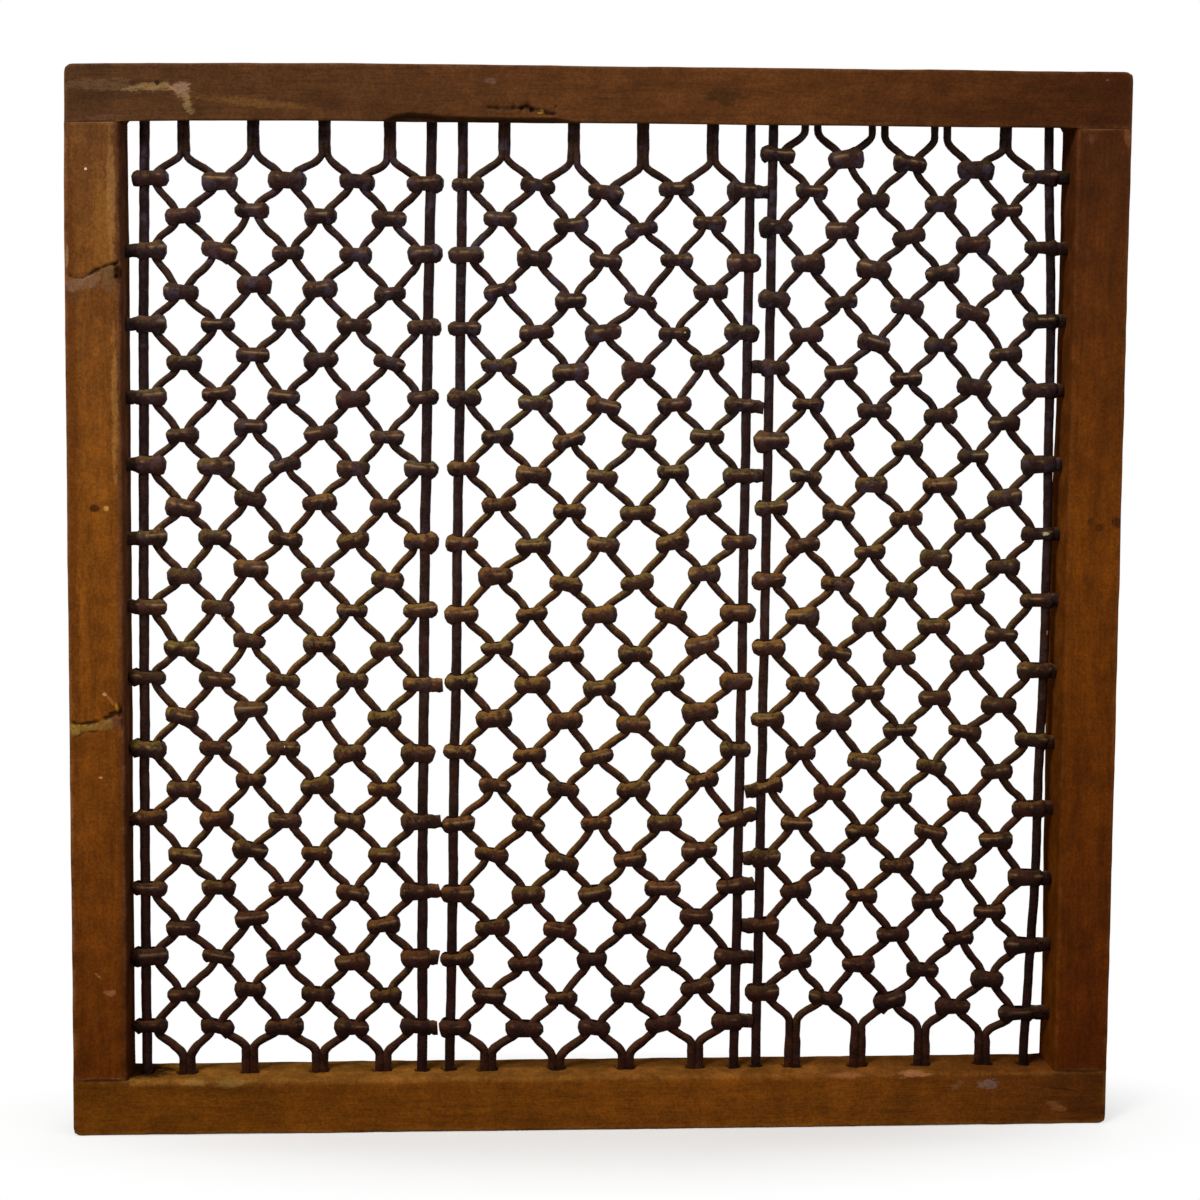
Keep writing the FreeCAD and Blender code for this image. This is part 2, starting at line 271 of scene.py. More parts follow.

# Each member of the frame: its tones from the left or the top end, outside and towards the opening, and the
# marks on it. The tones towards the opening are partly the wood's own and partly painted shade, and turning
# is how far that painted shade reaches onto the front face. A mark is a place and a reach, (x, z) on the
# front or (x, y, z), a turn that lifts the right end, a tone and how strongly and how raggedly it covers.
# True: it goes right round the member.
members = {
    "top_rail": {
        "tones": ("#462b15", "#542f12", "#3b1b06"),
        "middleAt": 0.68,
        "innerTones": ("#5a3a20", "#5e391b", "#482610"),
        "arrisWearAndHighlightTone": "#6b4526",
        "streaks": 0.1,
        "turning": 0.0032,
        "seed": 3.0,
        "marks": [
            ((-0.425, 0.9095), (0.042, 0.0064), 0, "#694e34", 0.42, 1.5),
            ((-0.383, 0.908), (0.022, 0.0048), 4, "#836640", 0.8, 1.5),
            ((-0.357, 0.906), (0.01, 0.008), -25, "#8a6850", 0.8, 1.3),
            ((-0.352, 0.894), (0.0048, 0.0105), 14, "#80683f", 0.75, 1.6),
            ((-0.3775, 0.9118), (0.0032, 0.0032), 0, "#241306", 0.95, 0.5),
            ((-0.398, 0.911), (0.005, 0.003), 0, "#38200f", 0.8, 0.7),
            ((-0.422, 0.882), (0.018, 0.0034), 1, "#634034", 0.4, 1.3),
            ((-0.433, 0.8785), (0.027, 0.0013), 1, "#2c1308", 0.9, 0.5),
            ((-0.097, 0.9155), (0.007, 0.0032), -15, "#6d5046", 0.45, 1.3),
            ((0.102, 0.9045), (0.022, 0.009), 0, "#38220c", 0.75, 1.2),
            ((-0.3, 0.896), (0.06, 0.005), -4, "#6e4a22", 0.45, 1.5),
            ((-0.054, 0.8905), (0.004, 0.002), 0, "#94722c", 0.95, 0.8),
            ((0.434, 0.9225), (0.0018, 0.0014), 0, "#7a583a", 0.55, 0.6),
        ],
    },
    "left_stile": {
        "tones": ("#5e3a1b", "#79440f", "#572702"),
        "middleAt": 0.42,
        "innerTones": ("#553321", "#633c28", "#3f1d08"),
        "arrisWearAndHighlightTone": "#9c6c44",
        "streaks": 0.14,
        "turning": 0.008,
        "seed": 11.0,
        "marks": [
            ((-0.452, 0.6), (0.007, 0.36), 0, "#4f2708", 0.6, 1.0),
            # painted highlight: a soft pale strip along the inner arris
            ((-0.417, 0.815), (0.005, 0.075), 0, "#8e6538", 0.55, 1.0),
            ((-0.4155, 0.64), (0.0036, 0.085), 0, "#9a6a34", 0.5, 1.2),
            ((-0.424, 0.79), (0.011, 0.06), 0, "#8a5a22", 0.45, 0.8),
            ((-0.449, 0.733), (0.011, 0.013), 0, "#54341a", 0.6, 1.3),
            ((-0.45, 0.7425), (0.0105, 0.008), 0, "#724f37", 0.88, 1.3),
            ((-0.4205, 0.74), (0.019, 0.0054), 0, "#5e4028", 0.74, 1.5),
            ((-0.435, 0.7455), (0.0185, 0.0078), 10, "#725138", 0.84, 1.4, True),
            ((-0.4205, 0.7515), (0.0115, 0.0092), 12, "#604528", 0.82, 1.6),
            # painted shade in the broken arris of the split
            ((-0.4112, 0.7508), (0.0056, 0.0088), 0, "#2c1408", 0.9, 0.9),
            ((-0.452, 0.36), (0.0105, 0.0066), 0, "#86672c", 0.9, 1.3),
            ((-0.4375, 0.3622), (0.015, 0.0048), 5, "#7f5e28", 0.9, 1.2, True),
            ((-0.4255, 0.3645), (0.0105, 0.0054), 10, "#785828", 0.9, 1.3),
            ((-0.416, 0.366), (0.0056, 0.008), 0, "#5c3823", 0.85, 1.1),
            ((-0.4335, 0.551), (0.0068, 0.0044), -8, "#3f1f05", 0.95, 0.5),
            ((-0.4235, 0.551), (0.0032, 0.003), 0, "#b5813a", 0.9, 0.4),
            ((-0.4215, 0.3855), (0.0022, 0.0085), 38, "#9c5c28", 0.75, 0.9),
            ((-0.416, 0.379), (0.002, 0.006), 10, "#a8741c", 0.85, 0.7),
            ((-0.4262, 0.3905), (0.0026, 0.0024), 0, "#bd8456", 0.85, 0.7),
            ((-0.438, 0.839), (0.0016, 0.0015), 0, "#e0bfa5", 1.0, 0.3),
            ((-0.4303, 0.3178), (0.0026, 0.0014), 0, "#c08a50", 0.9, 0.5),
            ((-0.4545, 0.765), (0.002, 0.014), 0, "#96704c", 0.55, 1.2),
            ((-0.424, 0.128), (0.0066, 0.003), 0, "#a5744a", 0.36, 1.7),
            ((-0.434, 0.143), (0.0014, 0.006), 50, "#a5744a", 0.36, 1.2),
            ((-0.433, 0.05), (0.03, 0.0018), 0, "#3a1909", 0.9, 0.5),
        ],
    },
    "right_stile": {
        "tones": ("#3b1c09", "#673404", "#481b00"),
        "middleAt": 0.44,
        "innerTones": ("#4f2914", "#6b3911", "#623006"),
        "arrisWearAndHighlightTone": "#6e4020",
        "streaks": 0.14,
        "turning": 0.0036,
        "seed": 23.0,
        "marks": [
            ((0.43, 0.541), (0.0048, 0.0042), 0, "#3f1e06", 0.65, 1.2),
            ((0.438, 0.5355), (0.0048, 0.0044), 0, "#371904", 0.7, 1.2),
            ((0.4545, 0.54), (0.0068, 0.0072), 0, "#2a1105", 0.75, 1.1),
            ((0.43, 0.8805), (0.018, 0.0014), 0, "#6a4128", 0.75, 0.7),
            ((0.422, 0.872), (0.0075, 0.005), 0, "#6a452c", 0.4, 1.6),
            ((0.454, 0.873), (0.005, 0.01), 20, "#7a4a2c", 0.55, 1.0),
        ],
    },
    "bottom_rail": {
        "tones": ("#623505", "#6d3b09", "#4a2405"),
        "middleAt": 0.72,
        "innerTones": ("#895a22", "#79491c", "#5d3110"),
        "arrisWearAndHighlightTone": "#84602a",
        "streaks": 0.14,
        "turning": 0.006,
        "seed": 31.0,
        "marks": [
            ((0.284, 0.048), (0.017, 0.0042), 0, "#94603c", 0.8, 1.4),
            ((0.224, 0.0465), (0.02, 0.0032), 0, "#8a5530", 0.7, 1.0),
            ((0.35, 0.038), (0.013, 0.005), 0, "#745e56", 0.52, 1.6),
            ((0.324, 0.0375), (0.009, 0.0042), 20, "#72543a", 0.36, 1.6),
            ((0.412, 0.0166), (0.011, 0.0046), -22, "#84552f", 0.38, 1.6),
            ((0.415, 0.0325), (0.022, 0.0013), -8, "#331904", 0.75, 0.9),
            ((-0.318, 0.0455), (0.017, 0.005), 0, "#7c6430", 0.4, 1.4),
            ((-0.352, 0.047), (0.012, 0.0034), 0, "#8a6a34", 0.4, 1.4),
            # painted shade: the back of the top face, darkest in the two corners by the stiles
            ((-0.404, 0.004, 0.047), (0.044, 0.03, 0.014), 0, "#1c0a04", 0.92, 0.8),
            ((0.404, 0.016, 0.047), (0.024, 0.018, 0.014), 0, "#2a1206", 0.8, 0.9),
            ((0.434, 0.0484), (0.03, 0.0018), 0, "#3a2009", 0.85, 0.5),
            # painted shade: the back of the top face under the lattice
            ((0.03, 0.012, 0.049), (0.34, 0.016, 0.012), 0, "#4a2c0e", 0.6, 1.2),
        ],
    },
}


def withDepth(pair, depth):
    return pair if len(pair) == 3 else (pair[0], depth, pair[1])


def makeWood(node):
    values = members[node]
    material, shader, place = startMaterial(node.replace("_", "") + "Wood")
    upright = "stile" in node
    seed = values["seed"]
    feeds = {"Vector": place, "Rotation": (0.0, math.radians(90 if upright else 0), 0.0),
             "Location": (seed, 0.37 * seed, 0.71 * seed)}
    grain = group(grainTree, vector=made("ShaderNodeMapping", feeds))
    low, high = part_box(node)
    first, last = (high.z, low.z) if upright else (low.x, high.x)
    middle = first + (last - first) * values["middleAt"]
    along = parts(place)[2 if upright else 0]
    toMiddle = made("ShaderNodeMapRange", {0: along, 1: first, 2: middle})
    toEnd = made("ShaderNodeMapRange", {0: along, 1: middle, 2: last})

    def drifting(key):
        start, centre, end = map(tone, values[key])
        return mixed(toEnd, mixed(toMiddle, start, centre), end)

    shade = ramp(grain.figure, 0.32, 0.58, 0.78, 1.03) * ramp(grain.mottle, 0.34, 0.74, 0.87, 1.31)
    fibres = ramp(grain.fibre, 0.42, 0.62) + grain.pores
    colour = scaled(drifting("tones"), shade * (fibres * -values["streaks"] + 1.06))
    # arrises take a paler tone: wear, and a painted highlight along the rounded edges
    wornAndLit = attribute(place.tree, "arris") * ramp(grain.mottle, 0.36, 0.6) * wood["arrisShare"]
    colour = mixed(wornAndLit, colour, tone(values["arrisWearAndHighlightTone"]))
    # towards the opening the colour blends into the inner tones, partly the wood's own tone and partly
    # painted shade where the faces turn away from the lamps
    inner = attribute(place.tree, "inner")
    innerColour = scaled(drifting("innerTones"), ramp(grain.mottle, 0.38, 0.7, 0.62, 1.12))
    colour = mixed(inner * 0.94, colour, innerColour)
    for spot, reach, lift, text, share, ragged, *goesRound in values["marks"]:
        mark = group(patchTree, vector=place, place=withDepth(spot, -0.025), turn=math.radians(lift),
                     reach=withDepth(reach, 0.2 if goesRound else 0.012), ragged=ragged,
                     streak=(1.3, 1.0, 0.45) if upright else (0.45, 1.0, 1.3))
        colour = mixed(mark.mask * share, colour, tone(text))
    specks = group(speckTree, vector=place, scale=wood["speckScale"], share=wood["speckShare"], size=0.12)
    colour = mixed(specks.mask, colour, tone(wood["speckTone"]))
    colour = scaled(colour, ramp(noiseOf(place, 430.0, 3.0, 0.7), 0.3, 0.7, 0.78, 1.22))
    # painted shade: the seats of the iron, the splits and the lost arris are darkened
    pit = attribute(place.tree, "pit")
    height = grain.mottle * 0.5 + (grain.fibre * 0.6 + grain.pores * -0.5)
    feed(shader, {
        "Base Color": mixed(pit, colour, tone(wood["hollowShadeTone"])),
        "Roughness": pit * 0.3 + (grain.mottle * 0.22 + (wood["roughness"] - 0.11)),
        "Specular IOR Level": (1.0 - inner) * wood["shine"],
        "Normal": bump(height, wood["fibreBump"], 0.0012),
    })
    return material


iron = {
    "bar": {"tones": ("#160b09", "#291714", "#3c2520"), "dust": 0.25, "slope": 0.2},
    "wire": {"tones": ("#190c07", "#331d13", "#4e3020"), "dust": 0.95, "slope": 0.1},
    "collar": {"tones": ("#150b09", "#2d1a16", "#472b23"), "dust": 1.1, "slope": 0.13},
    "oliveTone": "#6d5b2c",
    "ochreTone": "#7c582c",
    "scaleAndSheenTone": "#4b3c42",
    "redTone": "#4a2010",
    "rimHighlightTone": "#9a7750",
    "rimHighlightHeights": (0.06, 0.32),          # the painted rim highlight fades out on the lowest rows
    "plasterTone": "#b9a98a",
    "dustAndLightSide": (-0.4, -0.1, 0.91),     # the way that a surface faces to take dust, tipped towards the lamps at the left so it also paints the lit sides paler
    "collarChange": 0.2,                 # how much one collar is darker or paler than another
    "roughness": 0.62,
    "shine": 0.06,
    "underside": 0.55,                   # painted shade: how dark the downward-facing iron is painted
    "dustyPlace": (-0.04, 0.0, 0.43),    # where the dust lies thickest
    "dustyReach": (0.52, 1.0, 0.37),
    "scaleAndSheenHeights": (0.25, 0.8),         # grey scale with a painted sheen grows from here to here
    # what the iron's colour is multiplied by in the lowest, the middle and the highest rows
    "tints": ("#cdad9f", "#fff4dd", "#dedff1"),
    "lowHeights": (0.14, 0.42),
    "highHeights": (0.42, 0.66),
    "rightSide": (0.1, 0.36),            # from here to here along X the iron grows darker
    "rightShare": 0.8,
    # pale flecks: place, reach, tone
    "flecks": [
        ((0.3946, -0.01, 0.5281), (0.0052, 0.006, 0.0026), "#c4b38a"),
        ((0.399, -0.006, 0.4395), (0.0014, 0.006, 0.003), "#937f6c"),
    ],
}


def makeIron(name):
    values = iron[name]
    material, shader, place = startMaterial("rusted" + name.capitalize())
    tree = place.tree
    across, height = parts(place)[::2]
    normal = made("ShaderNodeNewGeometry", {}, "Normal", tree)
    dusty = group(patchTree, vector=place, place=iron["dustyPlace"], reach=iron["dustyReach"],
                  ragged=1.6, grit=9.0)
    amount = (dusty.mask * 0.65 + 0.35) * values["dust"] * (attribute(tree, "lop") * 0.35 + 1.0)
    # dust on faces that look up, and painted light: the mask leans towards the lit left side
    rust = group(rustTree, vector=place, upward=vectorCalc("DOT_PRODUCT", normal, iron["dustAndLightSide"]),
                 dustAmount=amount, dustSlope=values["slope"])
    dark, middle, light = map(tone, values["tones"])
    colour = mixed(rust.bloom * 0.7, mixed(rust.pitting, dark, middle), light)
    reddish = ramp(noiseOf(place, 34.0, 3.0), 0.52, 0.7)
    colour = mixed(reddish * 0.35, colour, tone(iron["redTone"]))
    # grey scale, partly a painted sheen: cool grey glints on the upper iron
    scale = ramp(noiseOf(place, 90.0, 2.0), 0.52, 0.7) * ramp(height, *iron["scaleAndSheenHeights"], 0.2, 0.75)
    colour = mixed(scale, colour, tone(iron["scaleAndSheenTone"]))
    # painted shade: iron that faces down is darkened
    colour = scaled(colour, ramp(parts(normal)[2], -0.85, 0.25, iron["underside"], 1.0))
    colour = scaled(colour, attribute(tree, "pinch") * iron["collarChange"] + 1.0)
    hue = ramp(noiseOf(place, 13.0, 2.0), 0.4, 0.6)
    colour = mixed(rust.dust, colour, mixed(hue, tone(iron["oliveTone"]), tone(iron["ochreTone"])))
    low, level, high = map(tone, iron["tints"])
    tint = mixed(ramp(height, *iron["lowHeights"]), low, level)
    tint = mixed(ramp(height, *iron["highHeights"]), tint, high)
    colour = mixed(1.0, colour, tint, "MULTIPLY")
    colour = scaled(colour, ramp(across, *iron["rightSide"], 1.0, iron["rightShare"]))
    # painted highlight: a pale line along each strap's rim, between the front face and the ledge
    rim = attribute(tree, "rim") ** 5.0 * ramp(noiseOf(place, 75.0, 2.0), 0.47, 0.64, 0.04, 0.8)
    colour = mixed(rim * ramp(height, *iron["rimHighlightHeights"], 0.35, 1.0), colour, tone(iron["rimHighlightTone"]))
    plaster = group(speckTree, vector=place, scale=95.0, share=0.01, size=0.1)
    colour = mixed(plaster.mask, colour, tone(iron["plasterTone"]))
    for spot, reach, text in iron["flecks"]:
        fleck = group(patchTree, vector=place, place=spot, reach=reach, ragged=0.8, grit=700.0)
        colour = mixed(fleck.mask, colour, tone(text))
    feed(shader, {
        "Base Color": colour,
        "Roughness": rust.rise * -0.18 + (rust.dust * 0.3 + iron["roughness"]),
        "Specular IOR Level": iron["shine"],
        "Normal": bump(rust.rise, 0.85, 0.0026),
    })
    return material


ironFinish = {name: makeIron(name) for name in ("bar", "wire", "collar")}
woodFinish = {name: makeWood(name) for name in members}
print("materials built")


# Reading the frame and making pieces

def islandsOf(node):
    # the separate solids of a CAD node from the top down, each as an array of its corners
    work = bmesh.new()
    work.from_mesh(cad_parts[node].data)
    bmesh.ops.remove_doubles(work, verts=work.verts, dist=1e-5)
    waiting = set(work.verts)
    found = []
    while waiting:
        front = [waiting.pop()]
        corners = []
        while front:
            vertex = front.pop()
            corners.append(vertex.co[:])
            others = {edge.other_vert(vertex) for edge in vertex.link_edges} & waiting
            waiting -= others
            front.extend(others)
        found.append(np.array(corners))
    work.free()
    return sorted(found, key=lambda corners: (-round(corners[:, 2].mean(), 7), corners[:, 0].min()))


def levelsOf(node):
    # the middle of a wire or bar at each height where it has corners, from the top
    corners = np.concatenate(islandsOf(node))
    levels = []
    for z in sorted(set(np.round(corners[:, 2], 5)), reverse=True):
        row = corners[abs(corners[:, 2] - z) < 2e-5, 0]
        levels.append(((row.min() + row.max()) / 2, z))
    return levels


def camel(node):
    words = node.split("_")
    return words[0] + "".join(word.capitalize() for word in words[1:])


def placed(name, data):
    thing = bpy.data.objects.new(name, data)
    bpy.context.scene.collection.objects.link(thing)
    return thing


def rework(mesh, action):
    work = bmesh.new()
    work.from_mesh(mesh)
    action(work)
    work.to_mesh(mesh)
    work.free()


def finishPiece(mesh, name, nodes):
    rework(mesh, lambda work: bmesh.ops.recalc_face_normals(work, faces=work.faces))
    mesh.name = name
    piece = placed(name, mesh)
    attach(piece, "root")
    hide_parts(*nodes)


def grownMesh(host, tree, **values):
    # runs a geometry tree on the host, keeps its result as a plain mesh and removes the host
    modifier = host.modifiers.new(tree.name, "NODES")
    modifier.node_group = tree
    keys = {item.name: item.identifier for item in tree.interface.items_tree if item.in_out == "INPUT"}
    for name, value in values.items():
        if label(name) in keys:
            modifier[keys[label(name)]] = value
    graph = bpy.context.evaluated_depsgraph_get()
    mesh = bpy.data.meshes.new_from_object(host.evaluated_get(graph), depsgraph=graph)
    host.modifiers.clear()
    bpy.data.objects.remove(host)
    return mesh


def sectionCurve(name, points):
    # a closed outline that is swept along iron: X points away from what it goes round
    curve = bpy.data.curves.new(name, "CURVE")
    spline = curve.splines.new("POLY")
    spline.points.add(len(points) - 1)
    for point, (x, y) in zip(spline.points, points):
        point.co = (x, y, 0.0, 1.0)
    spline.use_cyclic_u = True
    return placed(name, curve)


def roundSection(name, values, stoutness=1.0):
    points = []
    for n in range(values["sides"]):
        angle = 2 * math.pi * (n + 0.5) / values["sides"]
        reach = [math.copysign(abs(part) ** values["squareness"], part)
                 for part in (math.cos(angle), math.sin(angle))]
        points.append([part * (values["diameter"] * stoutness) / 2 for part in reach])
    return sectionCurve(name, points)


# Forged rods: bars and wires follow a path

# For both kinds of rod: the section, how far the path strays, how the girth changes and the hammer marks
bars = {"diameter": 0.0082, "sides": 10, "squareness": 0.8, "step": 0.004, "wander": 0.00035,
        "wanderLength": 0.045, "thinning": 0.05, "dents": 0.00022, "dentSize": 0.009, "stemSwell": 0.0,
        "taper": 0.0, "handleShares": (0.33, 0.33), "lean": 0.0,
        "stoutBar": "left_panel_right_bar", "stoutness": 1.13}
wires = {"diameter": 0.0072, "sides": 8, "squareness": 0.88, "step": 0.0028, "wander": 0.0008,
         "wanderLength": 0.02, "thinning": 0.13, "dents": 0.00021, "dentSize": 0.006, "stemSwell": 0.15,
         "taper": 0.08, "handleShares": (0.31, 0.43), "lean": 7.0,
         "stemLength": 0.017, "stemPinch": 0.0011, "closedStem": 0.008}


def makeRodTree():
    tree, given = startTree("forgedRod", "GeometryNodeTree", geometry="Geometry", section="Object",
                            step=0.003, wander=0.0004, wanderLength=0.03, thinning=0.08, dents=0.0002,
                            dentSize=0.006, middleHeight=0.465, stemStart=0.4, stemSwell=0.0, taper=0.0,
                            seed=1, material="Material")
    position = made("GeometryNodeInputPosition", {}, tree=tree)
    height = parts(position)[2]
    inStem = ramp(abs(height - given.middleHeight), given.stemStart - 0.01, given.stemStart)
    atFoot = height < given.middleHeight
    seeded = vectorCalc("ADD", position, scaled((7.3, 3.1, 5.7), given.seed))

    # the path strays, though less in the stems
    feeds = {"Vector": seeded, "Scale": 1.0 / given.wanderLength, "Detail": 1.0}
    away = vectorCalc("SUBTRACT", made("ShaderNodeTexNoise", feeds, "Color"), (0.5, 0.5, 0.5))
    away = scaled(away, given.wander * (inStem * -3.6 + 4.0))
    path = made("GeometryNodeResampleCurve", {"Curve": given.geometry, "Length": given.step}, mode="LENGTH")
    path = made("GeometryNodeSetPosition", {"Geometry": path, "Offset": away})

    # the girth is uneven, swells in the lower stems and shrinks upwards
    uneven = noiseOf(seeded, 0.6 / given.dentSize, 2.0) - 0.5
    girth = uneven * (given.thinning * 2.0) + 1.0
    girth = girth * (inStem * atFoot * given.stemSwell + 1.0)
    girth = girth * (1.0 - ramp(height, 0.3, 0.8) * given.taper)
    section = made("GeometryNodeObjectInfo", {"Object": given.section}, "Geometry")
    feeds = {"Curve": path, "Profile Curve": section, "Scale": girth, "Fill Caps": True}
    rod = addDents(made("GeometryNodeCurveToMesh", feeds), given)
    return closeTree(made("GeometryNodeSetShadeSmooth", {"Geometry": rod, "Shade Smooth": True}), given)


def addDents(shape, given):
    # hammer marks: the skin moves in and out by a smooth noise
    position = made("GeometryNodeInputPosition", {}, tree=shape.tree)
    normal = made("GeometryNodeInputNormal", {}, tree=shape.tree)
    seeded = vectorCalc("ADD", position, scaled((2.9, 8.3, 4.1), given.seed))
    depth = (noiseOf(seeded, 1.0 / given.dentSize, 1.0) - 0.5) * (given.dents * 4.0)
    return made("GeometryNodeSetPosition", {"Geometry": shape, "Offset": scaled(normal, depth)})


def closeTree(shape, given):
    shape = made("GeometryNodeRealizeInstances", {"Geometry": shape})
    shape = made("GeometryNodeSetMaterial", {"Geometry": shape, "Material": given.material})
    return endTree(shape.tree, "Geometry", geometry=shape)


def rodPath(name, levels, values, dice):
    # a smooth path that stands nearly upright at each of its points
    curve = bpy.data.curves.new(name, "CURVE")
    curve.dimensions = "3D"
    curve.resolution_u = 24
    spline = curve.splines.new("BEZIER")
    spline.bezier_points.add(len(levels) - 1)
    for n, (point, (x, z)) in enumerate(zip(spline.bezier_points, levels)):
        rise = levels[n - 1][1] - z if n else 0.0
        fall = z - levels[n + 1][1] if n + 1 < len(levels) else 0.0
        inside = 1 < n < len(levels) - 2
        lean = math.radians(dice.uniform(-values["lean"], values["lean"])) if inside else 0.0
        upright = Vector((math.sin(lean), 0.0, math.cos(lean)))
        point.handle_left_type = "FREE"
        point.handle_right_type = "FREE"
        point.co = (x, 0.0, z)
        point.handle_left = point.co + upright * rise * dice.uniform(*values["handleShares"])
        point.handle_right = point.co - upright * fall * dice.uniform(*values["handleShares"])
    return placed(name, curve)


def closeStem(node, levels):
    # where two wires share an upper stem they are forged into each other
    number = int(node[-1])
    partner = number + 1 if number % 2 else number - 1
    gap = levelsOf(node[:-1] + str(partner))[0][0] - levels[0][0]
    if abs(gap) > wires["closedStem"]:
        return levels
    shift = math.copysign(wires["stemPinch"], gap)
    return [(x + shift, z) for x, z in levels[:2]] + levels[2:]


def makeRod(node, values, section, material, seed):
    levels = levelsOf(node)
    if "wire" in node:
        levels = closeStem(node, levels)
    host = rodPath(camel(node) + "Path", levels, values, random.Random(seed))
    mesh = grownMesh(host, rodTree, **values, section=section, material=material, seed=seed,
                     middleHeight=(bottomFace + topFace) / 2,
                     stemStart=(topFace - bottomFace) / 2 - wires["stemLength"])
    finishPiece(mesh, camel(node), [node])


rodTree = makeRodTree()
barSection = roundSection("barSection", bars)
stoutSection = roundSection("stoutSection", bars, bars["stoutness"])
wireSection = roundSection("wireSection", wires)

for panelNumber, panel in enumerate(panelNames):
    for side, word in enumerate(("left", "right")):
        bar = f"{panel}_{word}_bar"
        section = stoutSection if bar == bars["stoutBar"] else barSection
        makeRod(bar, bars, section, ironFinish["bar"], 10 * panelNumber + side + 1)
    for number in range(1, 9):
        wire = f"{panel}_wire_{number}"
        makeRod(wire, wires, wireSection, ironFinish["wire"], 100 + 10 * panelNumber + number)
print("bars and wires forged")


# Wrapped collars

collars = {
    "thickness": 0.0032,
    "endShare": 0.9,            # how much of the thickness stands out beyond the path at an end
    "height": 0.0138,
    "ledge": 0.003,             # height of the sloping ledge above the front face
    "top": 0.001,               # height of the soft edge above the ledge
    "foot": 0.0042,             # height of the soft edge below the front face
    "raise": 0.0013,            # how far the hold sits above the strap's middle
    "ringPoints": 14,
    "squareness": 0.64,
    "waist": 0.72,
    "lobe": 1.12,
    "unevenness": 0.2,
    "widthChange": 0.06,
    "rimPoint": 3,              # the section's point between the front face and the ledge
    "seam": 0.55,
    "dents": 0.00075,
    "dentSize": 0.0075,
    "sharpAngle": math.radians(50.0),
    "lean": 17.0,               # in degrees, as is the next
    "sideLean": 8.0,
    "tailedWidth": 0.033,       # a side collar that is wider than this has a long tail
    "tailHeight": 0.0112,
    "tailDepth": 0.009,
    "tailCorner": 0.35,
    "tailHold": 0.003,          # how far a tail reaches into its collar
    "tailSag": 0.0005,
    "tailGirth": 1.1,
    "tailTaper": 0.14,
    "tailChange": 0.05,
    "tailSteps": 5,
}

# The few collars that stand out in the ironwork: panel, column, row, lean in degrees
leaningCollars = {
    ("right_panel", "left", 18): 17.0,
    ("middle_panel", "right", 18): 15.0,
    ("left_panel", "right", 14): -4.0,
}


